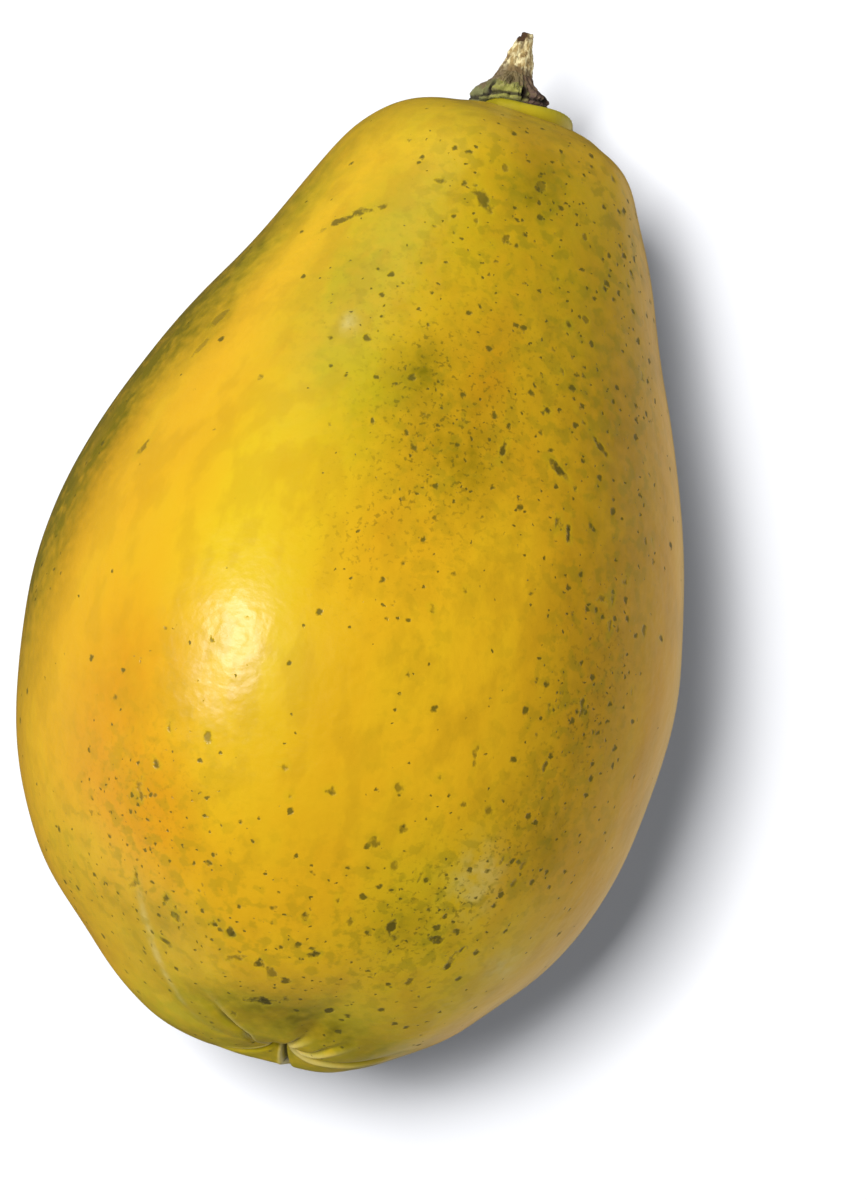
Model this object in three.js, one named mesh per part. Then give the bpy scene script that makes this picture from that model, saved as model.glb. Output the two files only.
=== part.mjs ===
// A ripe papaya lying on its side, in millimetres: the fruit, the dry calyx round the foot of its
// stalk, and the snapped stump of the stalk. +Z is up and +Y runs from the blossom end to the stalk.
import * as THREE from "three";

const { degToRad, lerp, smoothstep } = THREE.MathUtils;

// ---- Driving dimensions ----
const LENGTH = 162; // blossom end to the shoulder round the stalk
const WIDTH = 109; // across the belly, along X
const HEIGHT = 106; // through the belly, along Z

const RIBS = 5; // one soft rib for each of the five seed chambers, with a seam between each two
const SEAM_ANGLE = degToRad(-48); // first seam, from the top towards +X

const NECK_SWING = 3.4; // how far the neck bends off the belly's axis, towards +X
const REST_PITCH = degToRad(5); // the slim neck end dips as the belly comes to rest
const FLAT_DEPTH = 1.4; // how far the belly is pressed flat where it rests

const TIP = { x: 4, z: 8, reach: 15 }; // the puckered blossom tip sits off the belly's axis
const PAD = { x: 6.5, z: -2.5, radius: 8.6, edge: 3, height: 3 }; // green pad that the stalk grows from
const CALYX = { radius: 6.3, topRadius: 2.9, height: 5.2, lobes: 5, lobeDepth: 0.5 };
const STUMP = { radius: 2.5, tipRadius: 1.6, height: 6.8 };
const GAP = 0.3; // clearance between pieces that touch

const SEGMENTS = 45; // round the fruit, nine to a rib, so that each seam runs down a line of corners
const ROWS = 34; // along the fruit

// Half of the fruit's outline: share of the length from the blossom end, share of half the width.
const OUTLINE = [
  [0.012, 0],
  [0.002, 0.11],
  [0.01, 0.265],
  [0.032, 0.4],
  [0.083, 0.6],
  [0.16, 0.785],
  [0.27, 0.935],
  [0.42, 1],
  [0.55, 0.955],
  [0.7, 0.81],
  [0.8, 0.67],
  [0.9, 0.53],
  [0.96, 0.42],
  [0.988, 0.3],
  [0.998, 0.13],
  [1, 0],
];

// Where the body is fuller or leaner than the plain outline: degrees round from the top, the place
// and reach along it as shares of its length, and the share the radius gains.
const SIDE_SWELLS = [
  [92, 0.05, 0.04, 0.06],
  [92, 0.15, 0.09, 0.026],
  [-78, 0.072, 0.055, -0.075],
  [90, 0.3, 0.14, 0.012],
  [90, 0.75, 0.1, -0.024],
  [75, 0.985, 0.04, 0.07],
  [-90, 0.85, 0.1, -0.024],
];
const SWELL_SPREAD = degToRad(34); // how far round the body each of them reaches

// ---- Small helpers ----

// 1 at the middle of a soft round mound, falling to about a third at the given distance.
function mound(distance, reach) {
  return Math.exp(-((distance / reach) ** 2));
}

// Moves every corner of a geometry by a function that changes its point in place.
function shape(geometry, move) {
  const corners = geometry.getAttribute("position");
  const point = new THREE.Vector3();
  for (let i = 0; i < corners.count; i += 1) {
    move(point.fromBufferAttribute(corners, i));
    corners.setXYZ(i, point.x, point.y, point.z);
  }
  return geometry;
}

// ---- The fruit ----

// Rows lie closer together towards both ends, where the outline turns fastest.
function outlineRows() {
  const points = OUTLINE.map(([along, out]) => new THREE.Vector2((out * WIDTH) / 2, along * LENGTH));
  const outline = new THREE.SplineCurve(points);
  const rows = [];
  for (let i = 0; i <= ROWS; i += 1) {
    const even = i / ROWS;
    const crowded = (1 - Math.cos(Math.PI * even)) / 2;
    rows.push(outline.getPointAt(lerp(even, crowded, 0.75)));
  }
  rows[0].x = 0;
  rows[ROWS].x = 0;
  return rows;
}

// How much a rib or seam changes the radius, at a share of the length and an angle round the axis.
function ribbing(along, angle) {
  const wave = Math.cos(RIBS * (angle - SEAM_ANGLE)); // 1 on a seam, -1 on the crown of a rib
  const rib = 0.006 + 0.012 * mound(along - 0.93, 0.2) + 0.03 * mound(along, 0.09);
  const seam = 0.035 * mound(along, 0.09) * Math.max(wave, 0) ** 6;
  return 1 - rib * wave - seam;
}

// The share of the radius that the uneven sides add at a place on the fruit.
function sideSwell(along, angle) {
  let swell = 0;
  for (const [side, centre, reach, gain] of SIDE_SWELLS) {
    const beside = angle - degToRad(side);
    const turned = Math.atan2(Math.sin(beside), Math.cos(beside));
    swell += gain * mound(along - centre, reach) * mound(turned, SWELL_SPREAD);
  }
  return swell;
}

// How far the neck has swung towards +X at a share of the length.
function swing(along) {
  return NECK_SWING * smoothstep(along, 0.5, 0.92);
}

// Height of the pad above the shoulder, with the fuller shoulder on its -X side.
function shoulderRise(x, z) {
  const fromPad = Math.hypot(x - PAD.x, z - PAD.z);
  const pad = 1 - smoothstep(fromPad, PAD.radius - PAD.edge / 2, PAD.radius + PAD.edge / 2);
  const lobe = mound(Math.hypot(x + 7, z - 4), 10);
  return Math.max(PAD.height * pad, 1.9 * lobe);
}

function fruitPoint(point) {
  const along = point.y / LENGTH;
  const angle = Math.atan2(point.x, point.z);
  const swell = ribbing(along, angle) + sideSwell(along, angle);
  const tip = mound(Math.hypot(point.x, point.z), TIP.reach) * (1 - smoothstep(along, 0, 0.1));
  point.x = point.x * swell + TIP.x * tip + swing(along);
  point.z = point.z * swell * (HEIGHT / WIDTH) + TIP.z * tip;
  const shoulder = smoothstep(along, 0.96, 0.99);
  point.y += shoulder * shoulderRise(point.x, point.z);
}

const REST = new THREE.Matrix4().makeRotationX(-REST_PITCH);

const fruitShape = shape(new THREE.LatheGeometry(outlineRows(), SEGMENTS), fruitPoint);
fruitShape.applyMatrix4(REST);
fruitShape.computeBoundingBox();
const floor = fruitShape.boundingBox.min.z + FLAT_DEPTH;
shape(fruitShape, (point) => {
  point.z = Math.max(point.z, floor);
});

// ---- The calyx and the stump ----

// Where the stalk grows from the pad, on the fruit's own axis.
const FOOT = new THREE.Vector3(swing(1) + 0.4, LENGTH + PAD.height + GAP, 0);

function calyxGeometry() {
  const { radius, topRadius, height, lobes, lobeDepth } = CALYX;
  const profile = [
    [0, 0],
    [radius * 0.8, 0],
    [radius, height * 0.16],
    [radius * 0.94, height * 0.45],
    [radius * 0.66, height * 0.78],
    [topRadius, height],
    [0, height],
  ].map(([out, along]) => new THREE.Vector2(out, along));
  return shape(new THREE.LatheGeometry(profile, lobes * 6), (point) => {
    const wave = Math.cos(lobes * Math.atan2(point.x, point.z));
    const swell = 1 + (lobeDepth / radius) * wave * (1 - point.y / height);
    point.x *= swell;
    point.z *= swell;
  });
}

function stumpGeometry() {
  const { radius, tipRadius, height } = STUMP;
  const profile = [
    [0, 0],
    [radius, 0],
    [radius * 0.92, height * 0.5],
    [tipRadius, height * 0.92],
    [tipRadius * 0.5, height],
    [0, height],
  ].map(([out, along]) => new THREE.Vector2(out, along));
  return new THREE.LatheGeometry(profile, 16);
}

// ---- The assembly ----

function piece(name, geometry, color, roughness) {
  const mesh = new THREE.Mesh(geometry, new THREE.MeshStandardMaterial({ color, roughness, metalness: 0 }));
  mesh.name = name;
  return mesh;
}

const stalk = new THREE.Group();
const calyx = piece("calyx", calyxGeometry(), 0x6f6238, 0.85);
const stump = piece("stalk_stump", stumpGeometry(), 0xc9b27c, 0.9);
calyx.position.copy(FOOT);
stump.position.copy(FOOT).y += CALYX.height + GAP;
stalk.add(calyx, stump);
stalk.rotation.x = -REST_PITCH;

const papaya = new THREE.Group();
papaya.add(piece("fruit", fruitShape, 0xe3ab24, 0.4), stalk);

// The origin is under the middle of the whole, on the surface it rests on.
const box = new THREE.Box3().setFromObject(papaya, true);
papaya.position.set(-(box.min.x + box.max.x) / 2, -(box.min.y + box.max.y) / 2, -box.min.z);

export default papaya;
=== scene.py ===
"""A ripe papaya lying on its side on a pale table, seen from straight above.

Metres. +Y runs from the blossom end to the stalk, +Z is up, and angles round the fruit are counted
from its top towards +X.
"""

from math import cos, pi, radians, sin
from random import Random

import bpy
import numpy as np
from mathutils import Matrix, Vector, noise


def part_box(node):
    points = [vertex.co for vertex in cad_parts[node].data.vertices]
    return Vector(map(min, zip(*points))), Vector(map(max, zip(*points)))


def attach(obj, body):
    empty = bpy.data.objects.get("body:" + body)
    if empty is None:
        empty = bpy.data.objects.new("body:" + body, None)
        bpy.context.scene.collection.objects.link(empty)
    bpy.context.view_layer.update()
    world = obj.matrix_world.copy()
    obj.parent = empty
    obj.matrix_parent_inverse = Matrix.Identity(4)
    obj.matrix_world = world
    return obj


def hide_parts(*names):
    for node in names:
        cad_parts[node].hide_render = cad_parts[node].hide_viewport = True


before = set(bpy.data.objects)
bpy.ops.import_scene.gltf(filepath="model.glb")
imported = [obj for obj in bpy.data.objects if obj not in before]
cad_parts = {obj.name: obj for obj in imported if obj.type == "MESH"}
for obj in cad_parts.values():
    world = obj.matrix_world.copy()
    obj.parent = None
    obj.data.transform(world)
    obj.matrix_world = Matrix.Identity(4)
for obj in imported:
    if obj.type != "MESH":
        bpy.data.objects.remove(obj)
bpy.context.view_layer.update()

MM = 0.001

# ---- The fruit's driving dimensions, the same as the solid's ----
LENGTH = 162 * MM  # blossom end to the shoulder round the stalk
WIDTH = 109 * MM
HEIGHT = 106 * MM
RIBS = 5
SEAM_ANGLE = radians(-48)
NECK_SWING = 3.4 * MM
REST_PITCH = radians(5)
FLAT_DEPTH = 1.4 * MM
TIP = Vector((4, 8)) * MM  # how far the puckered blossom tip sits off the axis
TIP_REACH = 15 * MM

# Half of the outline: share of the length from the blossom end, share of half the width.
OUTLINE = [
    (0.012, 0),
    (0.002, 0.11),
    (0.01, 0.265),
    (0.032, 0.4),
    (0.083, 0.6),
    (0.16, 0.785),
    (0.27, 0.935),
    (0.42, 1),
    (0.55, 0.955),
    (0.7, 0.81),
    (0.8, 0.67),
    (0.9, 0.53),
    (0.96, 0.42),
    (0.988, 0.3),
    (0.998, 0.13),
    (1, 0),
]
# Where the body is fuller or leaner than the plain outline: degrees round from the top, the place
# and reach along it as shares of its length, and the share the radius gains.
SIDE_SWELLS = [
    (92, 0.05, 0.04, 0.06),
    (92, 0.15, 0.09, 0.026),
    (-78, 0.072, 0.055, -0.075),
    (90, 0.3, 0.14, 0.012),
    (90, 0.75, 0.1, -0.024),
    (75, 0.985, 0.04, 0.07),
    (-90, 0.85, 0.1, -0.024),
]
SWELL_SPREAD = radians(34)  # how far round the body each of them reaches

# ---- Details that the solid leaves out, or has plainer ----
TIP_LEAN = 0.35  # slope of the end's upper side, so that the puckered tip faces slightly up
UNEVENNESS = 0.35 * MM  # slight random swelling of the whole skin
UNEVEN_WAVELENGTH = 28 * MM

# The pad that the stalk grows from: its middle across and up, its radius, how wide its sloping edge
# is, how high it stands, and how much higher on its +X side.
PAD_X = 7 * MM
PAD_Z = -2.5 * MM
PAD_RADIUS = 8.7 * MM
PAD_EDGE = 1.4 * MM
PAD_HEIGHT = 3.2 * MM
PAD_SLANT = 0.8 * MM
# The gutter and the ridge round the upper side of the pad, from its middle.
GUTTER_RADIUS = 10.2 * MM
GUTTER_DEPTH = 0.9 * MM
RIDGE_RADIUS = 13.5 * MM
RIDGE_HEIGHT = 0.8 * MM

# The creases that run out from the blossom tip: degrees round it where each starts and where it
# turns to, its depth and how far it reaches, in millimetres.
CREASES = [
    (-86, -47, 1.9, 17),
    (8, 26, 2.0, 7),
    (74, 58, 1.2, 11),
    (104, 95, 2.2, 16),
    (168, 168, 1.9, 10),
    (-122, -118, 1.9, 10),
]
CREASE_WIDTH = 0.35 * MM  # at the tip, from where each crease widens
LIP_HEIGHT = 0.25 * MM  # of the raised skin along one side of each crease
PIT_DEPTH = 2.4 * MM  # of the small pit in the middle of the tip
PIT_RADIUS = 1.2 * MM

COARSE_ROWS = 68  # along the fruit
COARSE_STEPS = 90  # round the fruit
SMOOTHING_LEVELS = 2

# ---- The camera looks straight down, turned so that the stalk end leans to the right ----
LENS = 135  # mm, on a 36 mm tall picture
CAMERA_HEIGHT = 0.8
CAMERA_ROLL = radians(13.45)
AIM = Vector((0.009, -0.0103))  # middle of the picture, from the origin, to its right and up


# =====================================================================================
# Helpers
# =====================================================================================

def smoothstep(value, low, high):
    """0 below low, 1 above high, and a smooth rise between."""
    t = np.clip((value - low) / (high - low), 0, 1)
    return t * t * (3 - 2 * t)


def mound(distance, reach):
    """1 in the middle of a soft round mound, falling to about a third at the given reach."""
    return np.exp(-((distance / reach) ** 2))


def smooth_line(points, count, crowding):
    """Points along a smooth curve through the given ones, crowded towards both of its ends."""
    points = np.array(points, float)
    padded = np.vstack([2 * points[0] - points[1], points, 2 * points[-1] - points[-2]])
    fine = []
    for before, start, end, after in zip(padded, padded[1:], padded[2:], padded[3:]):
        for t in np.linspace(0, 1, 40, endpoint=False):
            fine.append(
                start
                + 0.5 * t * (end - before)
                + t * t * (before - 2.5 * start + 2 * end - 0.5 * after)
                + 0.5 * t**3 * (3 * start - before - 3 * end + after)
            )
    fine = np.array(fine + [points[-1]])
    steps = np.linalg.norm(np.diff(fine, axis=0), axis=1)
    travelled = np.concatenate([[0], np.cumsum(steps)])
    even = np.linspace(0, 1, count)
    shares = even + crowding * ((1 - np.cos(pi * even)) / 2 - even)
    at = shares * travelled[-1]
    return np.column_stack([np.interp(at, travelled, fine[:, i]) for i in range(points.shape[1])])


def only(obj):
    """Makes obj the only selected object, and the active one."""
    bpy.ops.object.select_all(action="DESELECT")
    obj.select_set(True)
    bpy.context.view_layer.objects.active = obj


def draw_line(name, points):
    """A line through the points, ready to be spun: one corner, extruded from point to point."""
    bpy.ops.object.select_all(action="DESELECT")
    bpy.ops.mesh.primitive_plane_add(size=MM, calc_uvs=False, location=(0, 0, 0))
    obj = bpy.context.object
    obj.name = name
    obj.data.name = name
    bpy.ops.object.mode_set(mode="EDIT")
    bpy.ops.mesh.select_all(action="SELECT")
    bpy.ops.mesh.merge(type="CENTER")
    bpy.ops.transform.translate(value=points[0])
    for here, there in zip(points, points[1:]):
        step = Vector(there) - Vector(here)
        bpy.ops.mesh.extrude_vertices_move(TRANSFORM_OT_translate={"value": step})
    bpy.ops.object.mode_set(mode="OBJECT")
    return obj


def spin_closed(obj, steps):
    """Spins a line whose ends lie on the Y axis once round it, into a closed body."""
    only(obj)
    bpy.ops.object.mode_set(mode="EDIT")
    bpy.ops.mesh.select_all(action="SELECT")
    bpy.ops.mesh.spin(steps=steps, angle=2 * pi, center=(0, 0, 0), axis=(0, 1, 0))
    bpy.ops.mesh.select_all(action="SELECT")
    bpy.ops.mesh.remove_doubles(threshold=0.001 * MM)
    bpy.ops.mesh.normals_make_consistent(inside=False)
    bpy.ops.object.mode_set(mode="OBJECT")


def subdivide_smooth(obj, levels):
    """Applies a Subdivision Surface."""
    only(obj)
    smoother = obj.modifiers.new("smooth", "SUBSURF")
    smoother.levels = levels
    smoother.render_levels = levels
    bpy.ops.object.modifier_apply(modifier=smoother.name)


def read_points(mesh):
    """The mesh's points, one row of x, y and z for each."""
    points = np.empty(len(mesh.vertices) * 3)
    mesh.vertices.foreach_get("co", points)
    return points.reshape(-1, 3)


def write_points(mesh, points):
    """Moves the mesh's points to the given rows."""
    mesh.vertices.foreach_set("co", points.ravel())
    mesh.update()


def read_normals(mesh):
    """The direction the surface faces at each point."""
    normals = np.empty(len(mesh.vertices) * 3, np.float32)
    mesh.vertex_normals.foreach_get("vector", normals)
    return normals.reshape(-1, 3)


def store_values(mesh, name, values):
    """Keeps one number for each point of the mesh, for its material to read."""
    layer = mesh.attributes.new(name, "FLOAT", "POINT")
    layer.data.foreach_set("value", np.ascontiguousarray(values, np.float32))


def rough_field(points, wavelength, seed, octaves=3):
    """Smooth random swelling between about -1 and 1 at each point."""
    shift = Vector((seed * 7.3, seed * 3.1, seed * 5.7))
    return np.array(
        [noise.fractal(Vector(p) / wavelength + shift, 1.0, 2.0, octaves) for p in points]
    )


# =====================================================================================
# The fruit's shape
# =====================================================================================

def shoulder_rise(x, z):
    """How far the shoulder stands up round the stalk: its lobes, the pad the stalk grows on, and the
    gutter and ridge on the upper side of the pad. Also how far each point is up the pad."""
    from_pad = np.hypot(x - PAD_X, z - PAD_Z)
    pad = 1 - smoothstep(from_pad, PAD_RADIUS - PAD_EDGE / 2, PAD_RADIUS + PAD_EDGE / 2)
    pad_height = PAD_HEIGHT + PAD_SLANT * smoothstep(x, 6 * MM, 14 * MM)
    left_lobe = 1.4 * MM * mound(np.hypot(x + 7 * MM, z - 4 * MM), 10 * MM)
    upper = smoothstep(z, -1 * MM, 5 * MM) * smoothstep(x, -6 * MM, 2 * MM)
    gutter = GUTTER_DEPTH * mound(from_pad - GUTTER_RADIUS, 1.6 * MM) * upper
    ridge = RIDGE_HEIGHT * mound(from_pad - RIDGE_RADIUS, 2.2 * MM) * upper
    return np.maximum(pad_height * pad, left_lobe) - gutter + ridge, pad


def crease_field(across, up):
    """How deep the creases at the blossom tip press in, in metres, round the tip's own centre, and
    how much of a crease's lip each point is."""
    far = np.hypot(across, up)
    turn = np.arctan2(across, up)
    depth = np.zeros_like(far)
    lips = np.zeros_like(far)
    for start, end, deep, reach in CREASES:
        line = radians(start) + radians(end - start) * smoothstep(far, 1 * MM, 9 * MM)
        off_line = np.angle(np.exp(1j * (turn - line))) * far
        width = CREASE_WIDTH + 0.05 * far
        fade = 1 - smoothstep(far, 0.3 * reach * MM, 1.4 * reach * MM)
        depth = np.maximum(depth, deep * MM * fade * mound(off_line, width))
        lips = np.maximum(lips, fade * mound(off_line - 1.5 * width, 0.5 * width))
    pit = PIT_DEPTH * mound(far, PIT_RADIUS)
    lips *= 1 - mound(far, 1.5 * MM)
    return depth + pit - LIP_HEIGHT * lips, lips


def fruit_points(points):
    """Turns the plain spun body into the ribbed, puckered one, and tells how deep in a crease, how
    far on a crease's lip and how far up the pad each point is. The points are in the fruit's own
    frame: the axis along Y from the blossom end."""
    x, y, z = points.T
    along = y / LENGTH
    angle = np.arctan2(x, z)
    wave = np.cos(RIBS * (angle - SEAM_ANGLE))
    rib = 0.006 + 0.012 * mound(along - 0.93, 0.2) + 0.03 * mound(along, 0.09)
    seam = 0.035 * mound(along, 0.09) * np.maximum(wave, 0) ** 6
    swell = 1 - rib * wave - seam
    for side, centre, reach, fullness in SIDE_SWELLS:
        beside = np.angle(np.exp(1j * (angle - radians(side))))
        swell += fullness * mound(along - centre, reach) * mound(beside, SWELL_SPREAD)
    tip = mound(np.hypot(x, z), TIP_REACH) * (1 - smoothstep(along, 0, 0.1))
    new_x = x * swell + TIP.x * tip + NECK_SWING * smoothstep(along, 0.5, 0.92)
    new_z = z * swell * (HEIGHT / WIDTH) + TIP.y * tip
    fold, lip_highlight = crease_field(new_x - TIP.x, new_z - TIP.y)
    blossom_end = 1 - smoothstep(along, 0.03, 0.14)
    above_tip = np.maximum(new_z - TIP.y + 6 * MM, 0)
    round_tip = mound(np.hypot(new_x - TIP.x, new_z - TIP.y), 16 * MM) * blossom_end
    new_y = y + fold * blossom_end + TIP_LEAN * above_tip * round_tip
    rise, pad = shoulder_rise(new_x, new_z)
    shoulder = smoothstep(along, 0.96, 0.99)
    shaped = np.column_stack([new_x, new_y + rise * shoulder, new_z])
    features = {"fold": fold * blossom_end / MM, "lip_highlight": lip_highlight * blossom_end, "pad": pad * shoulder}
    return shaped, features


def rest_on_table(points):
    """Pitches the fruit to its balance, puts it where the solid is, and presses its belly flat."""
    turn = np.array(Matrix.Rotation(-REST_PITCH, 3, "X"))
    points = points @ turn.T
    low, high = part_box("fruit")
    x, y, z = points.T
    x += (low.x + high.x - x.min() - x.max()) / 2
    y += low.y - y.min()
    z -= z.min() + FLAT_DEPTH
    return np.column_stack([x, y, np.maximum(z, 0)])


def make_fruit():
    """The whole fruit, spun from its outline, shaped, laid on its side and painted."""
    outline_points = [(out * WIDTH / 2, along * LENGTH) for along, out in OUTLINE]
    outline = smooth_line(outline_points, COARSE_ROWS + 1, 0.75)
    outline[0, 0] = 0
    outline[-1, 0] = 0
    fruit = draw_line("papaya_fruit", [(r, y, 0) for r, y in outline])
    spin_closed(fruit, COARSE_STEPS)
    subdivide_smooth(fruit, SMOOTHING_LEVELS)
    plain = read_points(fruit.data)
    shaped, features = fruit_points(plain)
    swelling = UNEVENNESS * rough_field(shaped, UNEVEN_WAVELENGTH, 1, 2)
    write_points(fruit.data, shaped)
    uneven = shaped + read_normals(fruit.data) * swelling[:, None]
    write_points(fruit.data, rest_on_table(uneven))
    for name, values in features.items():
        store_values(fruit.data, name, values)
    paint_skin(fruit.data, plain)
    bpy.ops.object.shade_smooth()
    fruit.visible_diffuse = False  # so that it throws no yellow light onto the table
    return fruit


# =====================================================================================
# The skin's colouring
# =====================================================================================

# Soft patches: degrees round the fruit, millimetres along it, half width, half length, tilt in
# degrees from the axis, and how strong the patch is.
PATCHES = {
    # A lighter copy of the gold: painted light along the rims and at the stalk end, lighter skin
    # elsewhere.
    "lighter_skin_and_painted_light": [
        (-50, 134, 9, 26, -8, 0.9),
        (-40, 157, 32, 8, 0, 1.0),
        (5, 158, 20, 5, 0, 0.8),
        (70, 112, 6, 34, 0, 1.0),
        (70, 10, 8, 12, 0, 1.0),
        (-58, 4, 20, 6, 0, 0.6),
        (30, 84, 6, 10, 0, 0.6),
        (46, 52, 6, 8, 0, 0.5),
        (24, 62, 13, 34, 0, 0.5),
        (34, 32, 7, 8, 0, 0.5),
        (58, 6, 8, 8, 0, 0.7),
        (12, 157, 9, 5, 0, 0.6),
        (-60, 142, 8, 20, 0, 0.6),
    ],
    "lemon": [
        (-20, 80, 11, 34, 0, 1.0),
        (-6, 54, 7, 12, 0, 0.4),
        (32, 36, 7, 9, 0, 0.9),
        (54, 22, 10, 13, 0, 0.9),
        (20, 80, 9, 16, 0, 0.2),
        (-32, 156, 22, 8, 0, 0.45),
        (0, 157, 14, 6, 0, 0.6),
    ],
    "green": [
        (-18, 110, 3, 3, 0, 0.8),
        (-23, 124, 3, 4, -30, 0.5),
        (-6, 108, 4, 5, 0, 0.5),
        (-24, 122, 9, 16, -10, 0.5),
        (-14, 138, 12, 14, 0, 0.45),
        (2, 130, 22, 22, 0, 0.2),
        (34, 150, 16, 10, 0, 0.25),
        (-10, 104, 6, 12, -20, 0.5),
        (30, 132, 10, 18, 0, 0.35),
        (4, 4, 34, 4.5, 0, 0.8),
        (30, 9, 12, 10, 0, 0.55),
        (27, 30, 9, 8, 0, 0.6),
        (-66, 132, 7, 20, 0, 0.8),
        (-40, 12, 14, 7, 0, 0.5),
        (-60, 26, 9, 7, 0, 0.4),
    ],
    "blush": [
        (-40, 48, 8, 16, 20, 1.0),
        (-30, 33, 8, 9, 0, 0.9),
        (-48, 62, 9, 30, 0, 0.15),
        (-2, 46, 9, 14, 0, 0.25),
        (14, 130, 10, 24, 0, 0.5),
        (13, 112, 4, 9, -10, 0.7),
        (20, 153, 7, 4.5, 0, 0.9),
        (2, 88, 8, 8, 0, 0.4),
        (33, 80, 5, 12, 0, 0.3),
        (46, 66, 10, 30, 0, 0.45),
        (48, 110, 9, 30, 0, 0.4),
        (-64, 84, 6, 22, 0, 0.6),
        (66, 84, 6, 40, 0, 0.5),
    ],
    # Olive skin on the left edge, at the blossom end and round the scars, and painted shade on the right
    # flank.
    "olive_and_painted_shade": [
        (6, 103, 8, 11, -15, 0.42),
        (-1, 112, 3, 4, 0, 0.55),
        (14, 98, 4, 6, 0, 0.3),
        (18, 147, 5, 4, 0, 0.5),
        (36, 126, 14, 22, 0, 0.2),
        (46, 96, 12, 30, 0, 0.3),
        (48, 56, 11, 18, 0, 0.25),
        (46, 44, 5, 7, 0, 0.3),
        (-73, 108, 10, 36, 0, 0.95),
        (-80, 76, 6, 20, 0, 0.8),
        (-66, 82, 5, 18, 0, 0.35),
        (-54, 114, 5, 6, 0, 0.35),
        (-8, 6, 14, 3, 0, 0.4),
        (27, 4, 14, 3, 0, 0.6),
        (-32, 19, 9, 4, 0, 0.35),
        (24, 26.5, 4, 3, 0, 0.25),
        (34, 25, 4, 2.5, 0, 0.2),
        (22, 153, 4, 4, 0, 0.2),
    ],
    "flecked": [
        (0, 16, 24, 10, 0, 0.6),
        (28, 30, 12, 12, 0, 1.0),
        (-40, 30, 10, 12, 0, 0.4),
        (48, 50, 13, 20, 0, 0.7),
        (44, 78, 7, 14, 0, 0.8),
        (38, 72, 10, 18, 0, 0.35),
        (46, 96, 10, 16, 0, 0.5),
        (28, 116, 14, 24, 0, 0.7),
        (-34, 40, 14, 16, 0, 0.5),
        (-20, 26, 16, 10, 0, 0.35),
        (5, 102, 9, 14, -10, 0.8),
        (30, 146, 18, 13, 0, 0.9),
        (50, 118, 10, 24, 0, 0.7),
        (-20, 122, 9, 12, 0, 0.5),
        (0, 140, 12, 12, 0, 0.4),
        (10, 78, 9, 9, 0, 0.3),
        (12, 60, 7, 12, 0, 0.25),
        (-66, 24, 10, 10, 0, 0.5),
        (-72, 78, 8, 24, 0, 0.4),
        (20, 142, 10, 10, 0, 0.4),
    ],
    # Pale scars, partly painted highlights: soft pale spots and a pale streak along a seam at the
    # blossom end.
    "pale_scar_and_highlight": [
        (36, 36, 3.5, 4.5, -30, 0.22),
        (57, 24, 4, 2, 0, 0.2),
        (-19, 117, 1.6, 1.1, 60, 0.28),
        (-38, 13, 0.7, 7, 8, 0.25),
    ],
    "peppered": [
        (6, 100, 8, 13, -15, 1.0),
        (0, 112, 5, 6, 0, 1.0),
        (-2, 84, 6, 9, 0, 0.6),
        (20, 112, 9, 14, 0, 0.6),
        (-12, 122, 12, 14, 0, 0.3),
        (40, 38, 8, 9, 0, 0.7),
        (28, 28, 8, 9, 0, 0.9),
        (-34, 36, 12, 12, 0, 0.35),
        (45, 66, 8, 18, 0, 0.8),
        (-75, 95, 8, 30, 0, 0.6),
    ],
}

# Round dark dots: their radius in millimetres, and for each the degrees round the fruit and the
# millimetres along it.
DOT_RADIUS = 0.56
DOTS = [
    (6, 150), (1, 139), (10, 137), (7, 136), (36, 142), (27, 133), (53, 137), (43, 134),
    (-21, 114), (36, 128), (30, 118), (56, 122), (55, 154), (12, 75), (17, 79), (57, 81),
    (64, 81), (50, 88), (44, 84), (58, 96), (37, 65), (44, 66), (56, 71), (34, 61), (40, 56),
    (52, 59), (21, 50), (14, 47), (32, 47), (27, 47), (-30, 42), (-33, 37), (-6, 46), (-4, 42),
    (3, 44), (-28, 48), (-36, 24), (-55, 20), (-16, 20), (-12, 19), (0, 14), (4, 13), (10, 28),
    (4, 24), (14, 25), (6, 9), (24, 8), (-15, 4), (24, 34), (13, 38), (18, 35), (17, 41),
    (39, 40), (44, 40), (44, 37), (26, 22), (42, 22), (32, 16), (36, 18), (-13, 145),
]

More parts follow.
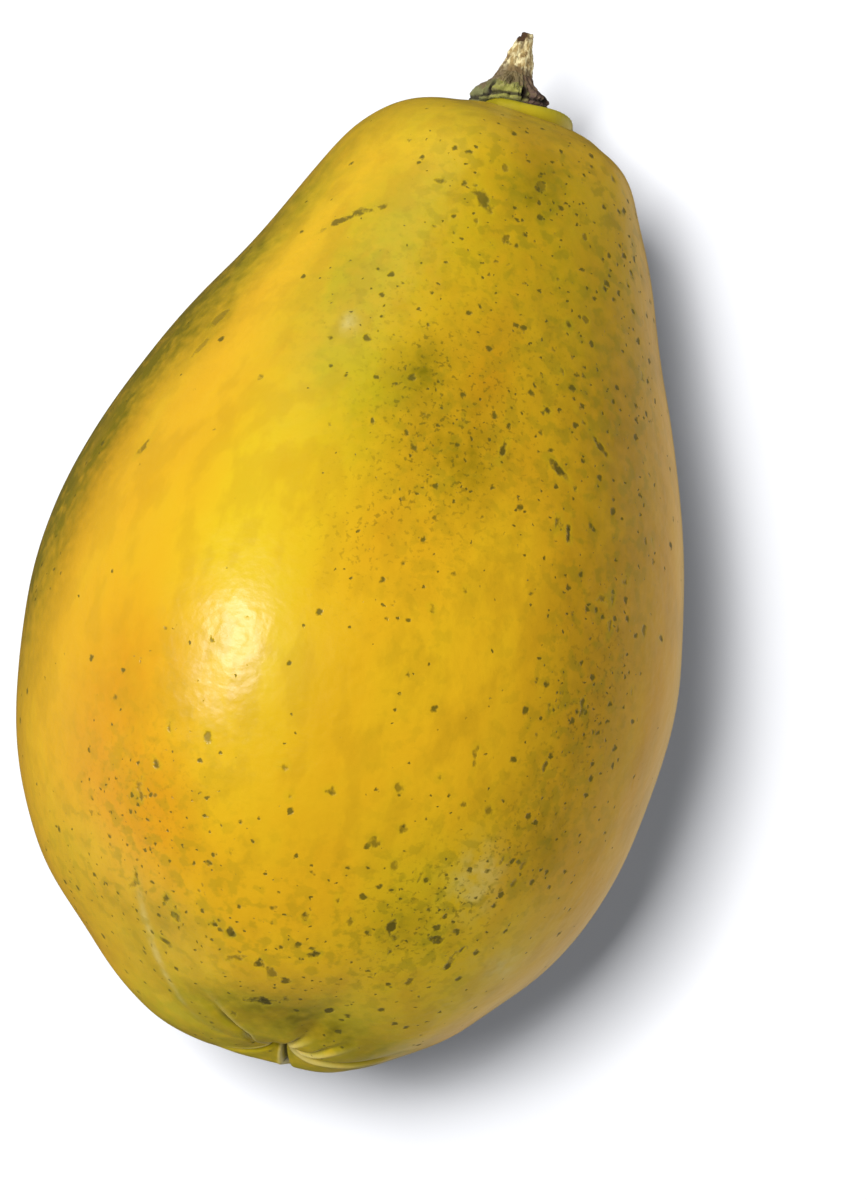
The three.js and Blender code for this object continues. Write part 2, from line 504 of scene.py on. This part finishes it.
# Larger scars and blots: degrees, millimetres along, half width, half length, tilt, strength.
BLOTS = [
    (-35, 136, 0.8, 4.6, 58, 0.75),
    (1, 143, 0.8, 2.6, -38, 0.75),
    (19, 148, 0.9, 1.2, 0, 0.5),
    (-14, 115, 0.6, 0.8, 60, 0.8),
    (31, 126, 0.5, 0.6, 0, 0.8),
    (27, 111, 0.5, 0.6, 0, 0.9),
    (-51, 91, 0.5, 1.2, 20, 0.6),
    (19, 103, 0.45, 1.3, 0, 0.9),
    (39, 109, 0.25, 1.9, -50, 0.8),
    (31, 102, 0.35, 1.4, -62, 0.9),
    (32.5, 93.5, 0.4, 0.8, 10, 1.0),
    (34.8, 93, 0.45, 1.0, 0, 1.0),
    (47, 80, 0.35, 0.9, 20, 0.8),
    (26, 54, 0.3, 1.3, -10, 0.6),
    (-20, 47, 0.4, 1.2, -20, 0.6),
    (-28, 22, 0.5, 0.8, 60, 0.8),
    (-26, 20, 0.45, 0.7, 0, 0.8),
    (-32, 15, 0.45, 1.6, -70, 0.8),
    (-10, 15, 0.4, 1.5, 80, 0.7),
    (-4, 15, 0.7, 0.9, 60, 0.9),
    (9, 18.5, 0.6, 0.8, 60, 1.0),
    (-2, 7.5, 0.9, 1.9, 80, 1.0),
    (23, 26, 0.7, 0.9, 0, 0.9),
    (25, 24, 0.5, 0.8, -50, 0.8),
    (34, 25.5, 0.6, 1.1, 80, 0.9),
    (42, 25, 0.4, 1.2, 20, 0.8),
    (-54, 115, 1.0, 2.2, 30, 0.45),
    (-53, 110, 0.6, 2.4, 20, 0.4),
    (-13, 145, 0.35, 1.1, 85, 0.7),
    (47, 84, 0.3, 0.7, 0, 0.7),
    (57, 82, 0.5, 0.7, 60, 0.7),
    (50, 88, 0.45, 0.7, 80, 0.7),
    (44, 67, 0.45, 0.7, 0, 0.8),
    (-34, 38, 0.4, 0.8, 40, 0.6),
    (-37, 23, 0.4, 0.9, 60, 0.6),
]


class Skin:
    """Where each point of the fruit's skin lies, unrolled: degrees round, millimetres along, and
    the radius there in millimetres."""

    def __init__(self, plain):
        self.around = np.degrees(np.arctan2(plain[:, 0], plain[:, 2]))
        self.along = plain[:, 1] / MM
        self.radius = np.hypot(plain[:, 0], plain[:, 2]) / MM

    def offset(self, around, along, half_width, half_length, tilt):
        """Each point's place in a tilted oval: across it and along it, in half sizes."""
        turn = (self.around - around + 180) % 360 - 180
        across = np.radians(turn) * self.radius
        ahead = self.along - along
        lean = radians(tilt)
        u = across * cos(lean) - ahead * sin(lean)
        v = across * sin(lean) + ahead * cos(lean)
        return u / half_width, v / half_length

    def patches(self, patches):
        """How strongly soft patches cover each point, the shown side's and, half a turn on,
        fainter ones for the underside."""
        total = np.zeros(len(self.along))
        for around, along, half_width, half_length, tilt, amount in patches:
            for turn, share in ((0, 1), (180, 0.7)):
                u, v = self.offset(around + turn, along, half_width, half_length, tilt)
                total += share * amount * np.exp(-(u * u + v * v) / 1.3)
        return np.clip(total, 0, 1)

    def marks(self, marks):
        """How many millimetres each point is outside the nearest mark's edge, less than nothing
        inside it, and how strong that mark is."""
        outside = np.full(len(self.along), 3.0)
        strengths = np.zeros(len(self.along))
        for around, along, half_width, half_length, tilt, strength in marks:
            u, v = self.offset(around, along, half_width, half_length, tilt)
            edge = (np.hypot(u, v) - 1) * min(half_width, half_length)
            nearer = edge < outside
            outside[nearer] = edge[nearer]
            strengths[nearer] = strength
        return outside, strengths


def paint_skin(mesh, plain):
    """Stores on the mesh where each colouring lies, and where the marks are."""
    skin = Skin(plain)
    for name, patches in PATCHES.items():
        store_values(mesh, name, skin.patches(patches))
    chance = Random(4)
    dots = [
        (around, along, DOT_RADIUS * chance.uniform(0.6, 1.2), DOT_RADIUS, 0, chance.uniform(0.5, 0.9))
        for around, along in DOTS
    ]
    far_side = [(mark[0] + 180, *mark[1:]) for mark in dots + BLOTS]
    outside, strengths = skin.marks(dots + BLOTS + far_side)
    store_values(mesh, "mark_edge", outside)
    store_values(mesh, "mark_strength", strengths)


# =====================================================================================
# The dried calyx and the stump of the stalk
# =====================================================================================

CALYX_RADIUS = 6.3 * MM
CALYX_HEIGHT = 5.2 * MM
CALYX_ROWS = 60
CALYX_STEPS = 160
# The calyx from its underside up its outside to its top: radius and height as shares.
CALYX_OUTLINE = [
    (0, 0.02), (0.5, 0.02), (0.84, 0), (0.95, 0.03), (0.985, 0.11), (0.92, 0.17), (0.985, 0.25),
    (0.99, 0.34), (0.9, 0.45), (0.77, 0.56), (0.64, 0.68), (0.54, 0.8), (0.49, 0.92), (0.42, 1),
    (0.3, 0.98), (0, 0.9),
]
# Each lobe: degrees round from the top, and how wide it is.
CALYX_LOBES = [(-72, 34), (-8, 34), (52, 27), (98, 24), (150, 30), (-140, 34)]

# The torn fibres of the stalk: degrees round from the top, distance out, radius at the foot, radius
# at the tip, height and how far the tip leans to the right, all in millimetres.
SPLINTERS = [
    (62, 1.5, 1.4, 0.75, 7.0, -0.5),
    (88, 1.7, 1.5, 0.9, 8.0, -0.8),
    (120, 1.6, 1.5, 0.8, 7.3, -0.8),
    (-60, 1.6, 1.4, 0.55, 6.4, 0.7),
    (-90, 1.8, 1.5, 0.6, 7.0, 0.9),
    (-125, 1.6, 1.5, 0.7, 7.4, 0.8),
    (180, 1.2, 1.6, 0.9, 6.8, 0),
    (0, 1.9, 1.3, 0.7, 2.4, 0),
    (-32, 1.9, 1.2, 0.6, 3.4, 0.2),
    (34, 1.9, 1.2, 0.6, 4.2, -0.2),
    (-20, 1.0, 1.0, 0.5, 4.6, 0.2),
    (20, 0.8, 0.9, 0.4, 3.4, 0),
]
CORE_RADIUS = 2.2 * MM
CORE_HEIGHT = 2 * MM
STUMP_GRAIN = 0.11 * MM  # size of the cells in which the fibres are fused
STUMP_RISE = 0.86 * CALYX_HEIGHT  # its foot, above the calyx's


def stand_on_fruit(obj, rise=0):
    """Moves a piece made round the Y axis to where the stalk grows, pitched as the fruit lies, with
    its foot slightly sunk in the pad."""
    low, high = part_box("calyx")
    foot = Vector(((low.x + high.x) / 2, low.y + 0.4 * MM, (low.z + high.z) / 2 - 0.2 * MM))
    turn = Matrix.Rotation(-REST_PITCH, 4, "X")
    obj.data.transform(Matrix.Translation(foot) @ turn @ Matrix.Translation((0, rise, 0)))


def make_calyx():
    """Dried sepals: uneven lobes with clefts between them, wrinkled, drooping on the left."""
    outline = smooth_line(CALYX_OUTLINE, CALYX_ROWS, 0)
    points = [(0, h * CALYX_HEIGHT, r * CALYX_RADIUS) for r, h in outline]
    calyx = draw_line("dried_calyx", points)
    spin_closed(calyx, CALYX_STEPS)
    x, y, z = read_points(calyx.data).T
    angle = np.arctan2(x, z)
    high = y / CALYX_HEIGHT
    lobe = np.zeros_like(x)
    for centre, width in CALYX_LOBES:
        beside = np.angle(np.exp(1j * (angle - radians(centre))))
        lobe = np.maximum(lobe, 1 - np.abs(beside / radians(width)) ** 3)
    rim = mound(high - 0.28, 0.34)
    around = np.column_stack([np.sin(angle), high * 0.5, np.cos(angle)])
    wrinkle = rough_field(around, 0.16, 3, 4)
    ridges = rough_field(around * (1, 0.35, 1), 0.07, 8, 2)
    swell = 1 - 0.2 * rim * (1 - lobe) + 0.15 * wrinkle + 0.09 * ridges * (0.4 + high)
    droop = smoothstep(-x, 1 * MM, 6 * MM) * (1 - high) * 1.6 * MM
    lift = smoothstep(x, 3 * MM, 6 * MM) * (1 - high) * 0.5 * MM
    curl = 0.5 * MM * rim * (1 - lobe)
    write_points(calyx.data, np.column_stack([x * swell, y - droop + lift + curl, z * swell]))
    bpy.ops.object.shade_smooth_by_angle(angle=radians(50))
    store_values(calyx.data, "cleft", rim * (1 - lobe))
    store_values(calyx.data, "around", np.degrees(angle))
    store_values(calyx.data, "high", high)
    stand_on_fruit(calyx)
    return calyx


def add_splinter(around, out, foot_radius, tip_radius, height, lean):
    """One tapering fibre, a cone that stands along Y and leans."""
    bpy.ops.mesh.primitive_cone_add(
        vertices=14, radius1=foot_radius * MM, radius2=tip_radius * MM, depth=height * MM
    )
    fibre = bpy.context.object
    fibre.data.transform(Matrix.Rotation(-pi / 2, 4, "X"))
    points = read_points(fibre.data)
    points[:, 1] += height * MM / 2
    share = points[:, 1] / (height * MM)
    foot = Vector((sin(radians(around)), 0, cos(radians(around)))) * out * MM
    points += np.array(foot) * (1 - 0.25 * share[:, None])
    points[:, 0] += lean * MM * share**2
    write_points(fibre.data, points)
    return fibre


def make_stalk_stump():
    """What is left of the stalk: torn fibres of uneven height round a hollow, fused into one."""
    bpy.ops.mesh.primitive_cylinder_add(vertices=24, radius=CORE_RADIUS, depth=CORE_HEIGHT)
    core = bpy.context.object
    core.data.transform(Matrix.Rotation(-pi / 2, 4, "X"))
    core.data.transform(Matrix.Translation((0, CORE_HEIGHT / 2, 0)))
    fibres = [add_splinter(*splinter) for splinter in SPLINTERS]
    only(core)
    for fibre in fibres:
        fibre.select_set(True)
    bpy.ops.object.join()
    stump = bpy.context.object
    stump.name = "torn_stalk_stump"
    fuse = stump.modifiers.new("fuse", "REMESH")
    fuse.mode = "VOXEL"
    fuse.voxel_size = STUMP_GRAIN
    bpy.ops.object.modifier_apply(modifier=fuse.name)
    points = read_points(stump.data)
    normals = read_normals(stump.data)
    ragged = rough_field(points * (1, 0.35, 1), 0.9 * MM, 5, 3)
    torn = rough_field(points, 0.6 * MM, 9, 2)
    points += normals * ((0.26 * ragged + 0.14 * torn) * MM)[:, None]
    write_points(stump.data, points)
    bpy.ops.object.shade_smooth_by_angle(angle=radians(60))
    far = np.hypot(points[:, 0], points[:, 2]) / MM
    store_values(stump.data, "hollow", 1 - smoothstep(far, 0.7, 1.7))
    store_values(stump.data, "high", points[:, 1] / MM)
    stand_on_fruit(stump, STUMP_RISE)
    return stump


# =====================================================================================
# Materials
# =====================================================================================

def add(tree, kind, inputs=None, **settings):
    """Adds a node. A value among its inputs is set, and another node's output is linked."""
    new = tree.nodes.new("ShaderNode" + kind)
    for name, value in settings.items():
        setattr(new, name, value)
    for socket, value in (inputs or {}).items():
        if isinstance(value, bpy.types.NodeSocket):
            tree.links.new(value, new.inputs[socket])
        else:
            new.inputs[socket].default_value = value
    return new


def compute(tree, operation, *values, clamp=False):
    """The output of a Math node."""
    return add(tree, "Math", dict(enumerate(values)), operation=operation, use_clamp=clamp).outputs[0]


def blend_colors(tree, amount, first, second):
    """The output of a Mix node that goes from the first colour to the second."""
    mix = add(tree, "Mix", {0: amount, 6: first, 7: second}, data_type="RGBA")
    return mix.outputs[2]


def fade(tree, value, low, high):
    """0 where the value is low and 1 where it is high, smooth between, either way round."""
    ranged = {"Value": value, "From Min": low, "From Max": high}
    return add(tree, "MapRange", ranged, interpolation_type="SMOOTHSTEP").outputs["Result"]


def attribute(tree, name):
    """The number kept on the mesh under the given name."""
    return add(tree, "Attribute", attribute_name=name).outputs["Fac"]


def new_group(name, inputs, outputs):
    """A node group with float inputs, each with its default, and the given outputs."""
    group = bpy.data.node_groups.new(name, "ShaderNodeTree")
    for socket, default in inputs.items():
        made = group.interface.new_socket(socket, in_out="INPUT", socket_type="NodeSocketFloat")
        made.default_value = default
    for socket in outputs:
        group.interface.new_socket(socket, in_out="OUTPUT", socket_type="NodeSocketFloat")
    return group, group.nodes.new("NodeGroupInput"), group.nodes.new("NodeGroupOutput")


def grain_group():
    """Noise from 0 to 1: the size of its features in metres, how fine its detail is, and how many
    times longer than wide the features are along the fruit."""
    group, given, result = new_group("grain", {"Size": 0.001, "Detail": 2.0, "Stretch": 1.0}, ["Amount"])
    own = add(group, "TexCoord").outputs["Object"]
    squeeze = compute(group, "DIVIDE", 1.0, given.outputs["Stretch"])
    scale = add(group, "CombineXYZ", {0: 1.0, 1: squeeze, 2: 1.0}).outputs[0]
    stretched = add(group, "Mapping", {"Vector": own, "Scale": scale}).outputs["Vector"]
    density = compute(group, "DIVIDE", 1.0, given.outputs["Size"])
    noise_inputs = {"Vector": stretched, "Scale": density, "Detail": given.outputs["Detail"]}
    cloudy = add(group, "TexNoise", noise_inputs).outputs["Fac"]
    group.links.new(cloudy, result.inputs["Amount"])
    return group


GRAIN = grain_group()


def grain(tree, size, detail=2.0, stretch=1.0):
    """The amount of one grain."""
    inputs = {"Size": size, "Detail": detail, "Stretch": stretch}
    return add(tree, "Group", inputs, node_tree=GRAIN).outputs["Amount"]


def fleck_group():
    """Scattered round flecks: how far apart, how large, and the share of places that has one."""
    group, given, result = new_group(
        "scattered_flecks", {"Spacing": 0.004, "Size": 0.16, "Share": 0.5}, ["Mask"]
    )
    own = add(group, "TexCoord").outputs["Object"]
    ripple = add(group, "TexNoise", {"Vector": own, "Scale": 1100.0, "Detail": 2.0}).outputs["Color"]
    scaled = add(group, "VectorMath", {0: ripple, 3: 0.0011}, operation="SCALE").outputs[0]
    moved = add(group, "VectorMath", {0: own, 1: scaled}, operation="ADD").outputs[0]
    density = compute(group, "DIVIDE", 1.0, given.outputs["Spacing"])
    cells = add(group, "TexVoronoi", {"Vector": moved, "Scale": density})
    chance = add(group, "SeparateColor", {"Color": cells.outputs["Color"]})
    present = compute(group, "LESS_THAN", chance.outputs[0], given.outputs["Share"])
    varied = compute(group, "MULTIPLY_ADD", chance.outputs[1], 0.8, 0.5)
    reach = compute(group, "MULTIPLY", given.outputs["Size"], varied)
    inside = compute(group, "SUBTRACT", reach, cells.outputs["Distance"])
    edge = compute(group, "DIVIDE", inside, compute(group, "MULTIPLY", reach, 0.45), clamp=True)
    group.links.new(compute(group, "MULTIPLY", edge, present), result.inputs["Mask"])
    return group


FLECKS = fleck_group()


def flecks(tree, spacing, size, share):
    """The mask of one set of flecks."""
    inputs = {"Spacing": spacing, "Size": size, "Share": share}
    return add(tree, "Group", inputs, node_tree=FLECKS).outputs["Mask"]


def new_material(name):
    """A new material, its nodes and its shader."""
    material = bpy.data.materials.new(name)
    material.use_nodes = True
    return material, material.node_tree, material.node_tree.nodes["Principled BSDF"]


GOLD = (0.5, 0.28, 0.007, 1)
# The gold made lighter, for painted light on the rims and the stalk end and for lighter skin.
LIGHTER_GOLD_AND_PAINTED_LIGHT = (0.66, 0.37, 0.009, 1)
LEMON = (0.5, 0.345, 0.007, 1)
GREEN = (0.37, 0.285, 0.006, 1)
ORANGE = (0.45, 0.21, 0.005, 1)
DUSKY = (0.33, 0.19, 0.006, 1)
PAD_GREEN = (0.33, 0.29, 0.015, 1)
# Painted highlight for the raised lips of the creases.
PAINTED_LIP_HIGHLIGHT = (0.72, 0.62, 0.3, 1)
PALE_SCAR_AND_HIGHLIGHT = (0.6, 0.53, 0.24, 1)
# Painted shade for the depths of the creases.
CREASE_SHADE = (0.06, 0.05, 0.01, 1)
# Dark olive: the skin's own colour, and painted shade on the right flank.
OLIVE_AND_PAINTED_SHADE = (0.15, 0.115, 0.0015, 1)
STAIN_GREEN = (0.19, 0.16, 0.006, 1)
FLECK_GREEN = (0.085, 0.07, 0.006, 1)
MARK_BROWN = (0.06, 0.048, 0.006, 1)

SEPAL_GREY_GREEN = (0.15, 0.15, 0.06, 1)
SEPAL_YELLOW_GREEN = (0.26, 0.25, 0.06, 1)
SEPAL_PURPLE = (0.1, 0.06, 0.045, 1)
SEPAL_BROWN = (0.13, 0.085, 0.05, 1)
SEPAL_CREST = (0.34, 0.26, 0.15, 1)
# Painted shade for the clefts and the groove under the rim.
SEPAL_CLEFT_SHADE = (0.018, 0.013, 0.01, 1)
SEPAL_GROOVE_SHADE = (0.02, 0.015, 0.012, 1)

FIBRE_TAN = (0.3, 0.21, 0.08, 1)
FIBRE_CREAM = (0.62, 0.54, 0.3, 1)
FIBRE_BROWN = (0.13, 0.075, 0.025, 1)
FIBRE_FOOT = (0.1, 0.065, 0.03, 1)
# Painted shade for the hollow of the stump.
HOLLOW_SHADE = (0.05, 0.025, 0.01, 1)


def skin_material():
    """Waxy gold skin: lighter gold that is partly painted light, lemon, orange and green patches, olive
    patches that are partly painted shade, pale scars with painted highlights, stains and a dusky veil,
    then the green pad, a painted highlight on the crease lips, painted shade in the creases, and last
    the speckles, flecks and dark marks."""
    material, tree, shader = new_material("papaya_skin")
    shader.inputs["Specular IOR Level"].default_value = 0.4

    cloudy = compute(tree, "SUBTRACT", grain(tree, 0.009, 3.0, 2.0), 0.5)
    mottled = compute(tree, "SUBTRACT", grain(tree, 0.0022, 4.0), 0.5)

    def patchy(name, cloud, mottle):
        """A painted patch, broken up by the mottling, its edges moved by the clouds."""
        painted = attribute(tree, name)
        broken = compute(tree, "MULTIPLY", painted, compute(tree, "MULTIPLY_ADD", mottled, mottle, 1.0))
        return compute(tree, "MULTIPLY_ADD", cloudy, cloud, broken, clamp=True)

    pad = attribute(tree, "pad")
    off_pad = compute(tree, "SUBTRACT", 1.0, pad)
    flecky = compute(tree, "MULTIPLY", attribute(tree, "flecked"), off_pad)
    # Lighter gold: painted light along the rims and at the stalk end, lighter skin elsewhere.
    color = blend_colors(tree, patchy("lighter_skin_and_painted_light", 0.0, 0.8), GOLD, LIGHTER_GOLD_AND_PAINTED_LIGHT)
    color = blend_colors(tree, patchy("lemon", 0.5, 0.5), color, LEMON)
    color = blend_colors(tree, patchy("blush", -0.5, 0.8), color, ORANGE)
    color = blend_colors(tree, patchy("green", 0.45, 1.2), color, GREEN)
    # Olive: real skin colour on the left edge and at the blossom end, painted shade on the right flank.
    color = blend_colors(tree, patchy("olive_and_painted_shade", -0.25, 2.0), color, OLIVE_AND_PAINTED_SHADE)
    # Pale scars, partly painted highlights.
    color = blend_colors(tree, patchy("pale_scar_and_highlight", 0.0, 5.0), color, PALE_SCAR_AND_HIGHLIGHT)

    stained = compute(tree, "MULTIPLY", fade(tree, grain(tree, 0.0024, 5.0), 0.5, 0.62), flecky)
    color = blend_colors(tree, compute(tree, "MULTIPLY", stained, 0.45), color, STAIN_GREEN)
    veil = fade(tree, grain(tree, 0.005, 4.0, 2.0), 0.47, 0.62)
    color = blend_colors(tree, compute(tree, "MULTIPLY", veil, 0.26), color, DUSKY)
    color = blend_colors(tree, compute(tree, "MULTIPLY", pad, 0.8), color, PAD_GREEN)
    # Painted highlight along the raised lips of the creases.
    lip_highlight = attribute(tree, "lip_highlight")
    color = blend_colors(tree, compute(tree, "MULTIPLY", lip_highlight, 0.3), color, PAINTED_LIP_HIGHLIGHT)
    # Painted shade deep in the creases and in the pit of the blossom tip.
    fold = fade(tree, attribute(tree, "fold"), 0.5, 1.3)
    color = blend_colors(tree, compute(tree, "MULTIPLY", fold, 0.85), color, CREASE_SHADE)

    pepper = fade(tree, grain(tree, 0.0008, 3.0), 0.56, 0.68)
    sprinkled = compute(tree, "MULTIPLY", pepper, attribute(tree, "peppered"))
    color = blend_colors(tree, compute(tree, "MULTIPLY", sprinkled, 0.6), color, FLECK_GREEN)

    share = compute(tree, "MULTIPLY_ADD", flecky, 0.95, compute(tree, "MULTIPLY", off_pad, 0.04))
    fine = flecks(tree, 0.0014, 0.2, compute(tree, "MULTIPLY", share, 0.6))
    coarse = flecks(tree, 0.0026, 0.22, share)
    flecked = compute(tree, "MULTIPLY", compute(tree, "MAXIMUM", fine, coarse), 0.88)
    color = blend_colors(tree, flecked, color, FLECK_GREEN)

    ragged = compute(tree, "MULTIPLY_ADD", mottled, 2.6, attribute(tree, "mark_edge"))
    strength = attribute(tree, "mark_strength")
    halo = compute(tree, "MULTIPLY", fade(tree, ragged, 0.9, 0.1), 0.3)
    color = blend_colors(tree, compute(tree, "MULTIPLY", halo, strength), color, GREEN)
    marked = compute(tree, "MULTIPLY", fade(tree, ragged, 0.22, -0.3), strength)
    color = blend_colors(tree, marked, color, MARK_BROWN)
    tree.links.new(color, shader.inputs["Base Color"])

    pores = compute(tree, "MULTIPLY", grain(tree, 0.0011, 2.0), 0.2)
    ripples = compute(tree, "ADD", pores, grain(tree, 0.0045, 2.0))
    sunk = compute(tree, "MULTIPLY_ADD", marked, -0.8, ripples)
    height = compute(tree, "MULTIPLY_ADD", flecked, -0.5, sunk)
    bump = add(tree, "Bump", {"Height": height, "Strength": 0.5, "Distance": 0.0004})
    tree.links.new(bump.outputs["Normal"], shader.inputs["Normal"])
    rough = compute(tree, "MULTIPLY_ADD", compute(tree, "MAXIMUM", marked, flecked), 0.2, 0.3)
    tree.links.new(rough, shader.inputs["Roughness"])
    return material


def calyx_material():
    """Dried sepals: grey green on the left, yellow green in the middle, purple brown on the right,
    painted shade in the clefts and in the groove under the rim."""
    material, tree, shader = new_material("dried_calyx")
    shader.inputs["Roughness"].default_value = 0.75
    around = attribute(tree, "around")
    high = attribute(tree, "high")
    blotchy = compute(tree, "SUBTRACT", grain(tree, 0.0016, 3.0), 0.5)
    shifted = compute(tree, "MULTIPLY_ADD", blotchy, 60.0, around)
    past_left = fade(tree, shifted, -50, -30)
    color = blend_colors(tree, past_left, SEPAL_GREY_GREEN, SEPAL_YELLOW_GREEN)
    color = blend_colors(tree, fade(tree, shifted, 20, 42), color, SEPAL_PURPLE)
    upper = fade(tree, compute(tree, "MULTIPLY_ADD", blotchy, 0.9, high), 0.42, 0.62)
    color = blend_colors(tree, compute(tree, "MULTIPLY", upper, 0.8), color, SEPAL_BROWN)
    crest = fade(tree, grain(tree, 0.0007, 3.0), 0.55, 0.75)
    color = blend_colors(tree, compute(tree, "MULTIPLY", crest, 0.45), color, SEPAL_CREST)
    # Painted shade in the clefts between the lobes.
    cleft = fade(tree, attribute(tree, "cleft"), 0.2, 0.75)
    color = blend_colors(tree, cleft, color, SEPAL_CLEFT_SHADE)
    # Painted shade in the groove under the rim.
    from_groove = compute(tree, "ABSOLUTE", compute(tree, "SUBTRACT", high, 0.15))
    groove_shade = fade(tree, from_groove, 0.09, 0.03)
    color = blend_colors(tree, compute(tree, "MULTIPLY", groove_shade, 0.85), color, SEPAL_GROOVE_SHADE)
    tree.links.new(color, shader.inputs["Base Color"])
    height = compute(tree, "ADD", grain(tree, 0.0006, 3.0), grain(tree, 0.0016, 2.0))
    bump = add(tree, "Bump", {"Height": height, "Strength": 0.7, "Distance": 0.0004})
    tree.links.new(bump.outputs["Normal"], shader.inputs["Normal"])
    return material


def stump_material():
    """Dry torn fibres: cream and tan strands, brown blotches, darker at the foot, and painted shade in
    the hollow."""
    material, tree, shader = new_material("dry_stalk")
    shader.inputs["Roughness"].default_value = 0.8
    strands = grain(tree, 0.0006, 3.0, 5.0)
    blotches = grain(tree, 0.0013, 3.0)
    color = blend_colors(tree, fade(tree, strands, 0.42, 0.62), FIBRE_TAN, FIBRE_CREAM)
    browned = fade(tree, blotches, 0.52, 0.64)
    color = blend_colors(tree, compute(tree, "MULTIPLY", browned, 0.8), color, FIBRE_BROWN)
    ragged_height = compute(tree, "MULTIPLY_ADD", blotches, -4.0, attribute(tree, "high"))
    foot = fade(tree, ragged_height, 0.6, -1.0)
    color = blend_colors(tree, compute(tree, "MULTIPLY", foot, 0.8), color, FIBRE_FOOT)
    # Painted shade down in the hollow.
    ragged_hollow = compute(tree, "MULTIPLY_ADD", blotches, 0.5, attribute(tree, "hollow"))
    color = blend_colors(tree, fade(tree, ragged_hollow, 0.5, 1.0), color, HOLLOW_SHADE)
    tree.links.new(color, shader.inputs["Base Color"])
    bump = add(tree, "Bump", {"Height": strands, "Strength": 0.8, "Distance": 0.0003})
    tree.links.new(bump.outputs["Normal"], shader.inputs["Normal"])
    return material


def table_material():
    """Matt and almost white."""
    material, _, shader = new_material("pale_table")
    shader.inputs["Base Color"].default_value = (0.86, 0.865, 0.89, 1)
    shader.inputs["Roughness"].default_value = 0.8
    return material


# =====================================================================================
# The scene
# =====================================================================================

def make_table():
    """The pale surface the fruit lies on."""
    bpy.ops.mesh.primitive_plane_add(size=6, location=(0, 0, 0))
    table = bpy.context.object
    table.name = "table"
    table.visible_glossy = False
    table.data.materials.append(table_material())
    return table


def make_camera():
    """A long lens straight above the fruit."""
    data = bpy.data.cameras.new("camera")
    data.lens = LENS
    data.sensor_fit = "AUTO"
    data.sensor_width = 36
    camera = bpy.data.objects.new("camera", data)
    bpy.context.scene.collection.objects.link(camera)
    camera.rotation_euler = (0, 0, CAMERA_ROLL)
    right = Vector((cos(CAMERA_ROLL), sin(CAMERA_ROLL)))
    up = Vector((-sin(CAMERA_ROLL), cos(CAMERA_ROLL)))
    aim = right * AIM.x + up * AIM.y
    camera.location = (aim.x, aim.y, CAMERA_HEIGHT)
    bpy.context.scene.camera = camera


def area_light(name, direction, distance, size, power, glossy=True):
    """A soft rectangular light that shines on the fruit's middle from the given direction."""
    data = bpy.data.lights.new(name, "AREA")
    data.shape = "RECTANGLE"
    data.size, data.size_y = size
    data.energy = power
    light = bpy.data.objects.new(name, data)
    bpy.context.scene.collection.objects.link(light)
    away = Vector(direction).normalized()
    light.location = away * distance + Vector((0, 0, HEIGHT / 2))
    light.rotation_euler = away.to_track_quat("Z", "Y").to_euler()
    light.visible_glossy = glossy
    return light


def make_lights(table, pieces):
    """Dim white surroundings. The table has lights of its own: a panel above for its soft shadow and
    a fill that nothing blocks. The others are aimed at the fruit alone; the bounce stands for light
    that the table sends back up at it."""
    world = bpy.data.worlds.new("studio")
    bpy.context.scene.world = world
    world.use_nodes = True
    surroundings = world.node_tree.nodes["Background"]
    surroundings.inputs["Color"].default_value = (1, 1, 1, 1)
    surroundings.inputs["Strength"].default_value = 0.05
    fruit_only = bpy.data.collections.new("fruit_only")
    for piece in pieces:
        fruit_only.objects.link(piece)
    table_only = bpy.data.collections.new("table_only")
    table_only.objects.link(table)
    overhead = area_light("overhead_panel", (-0.235, 0.1, 1), 2, (0.5, 0.5), 48, glossy=False)
    fill = area_light("table_fill", (0, 0, 1), 2, (2, 2), 7.5, glossy=False)
    fill.data.color = (0.93, 0.96, 1)
    fill.light_linking.blocker_collection = table_only
    for light in (overhead, fill):
        light.light_linking.receiver_collection = table_only
    on_fruit = [
        area_light("key_panel", (-0.26, 0.0, 1), 1.2, (0.5, 0.5), 17.6, glossy=False),
        area_light("softbox", (-0.65, 0.0, 0.75), 1.2, (0.15, 0.28), 6),
        area_light("crown_panel", (-0.55, 1, 0.35), 0.8, (0.5, 0.4), 1.9, glossy=False),
        area_light("left_panel", (-1, -0.9, -0.25), 0.8, (0.9, 0.5), 2.9, glossy=False),
        area_light("right_panel", (1, -0.05, -0.55), 0.8, (1.2, 0.4), 5.7, glossy=False),
        area_light("bounce", (0.6, -0.1, -0.8), 0.5, (0.9, 0.35), 0.35),
    ]
    for light in on_fruit:
        light.light_linking.receiver_collection = fruit_only
        light.light_linking.blocker_collection = fruit_only
    bpy.context.scene.view_settings.view_transform = "Standard"


def add_piece(piece, node, material):
    """Puts a finished piece in the place of its solid."""
    piece.data.materials.append(material)
    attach(piece, "root")
    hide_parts(node)
    return piece


make_camera()
table = make_table()
fruit = add_piece(make_fruit(), "fruit", skin_material())
calyx = add_piece(make_calyx(), "calyx", calyx_material())
stump = add_piece(make_stalk_stump(), "stalk_stump", stump_material())
make_lights(table, [fruit, calyx, stump])
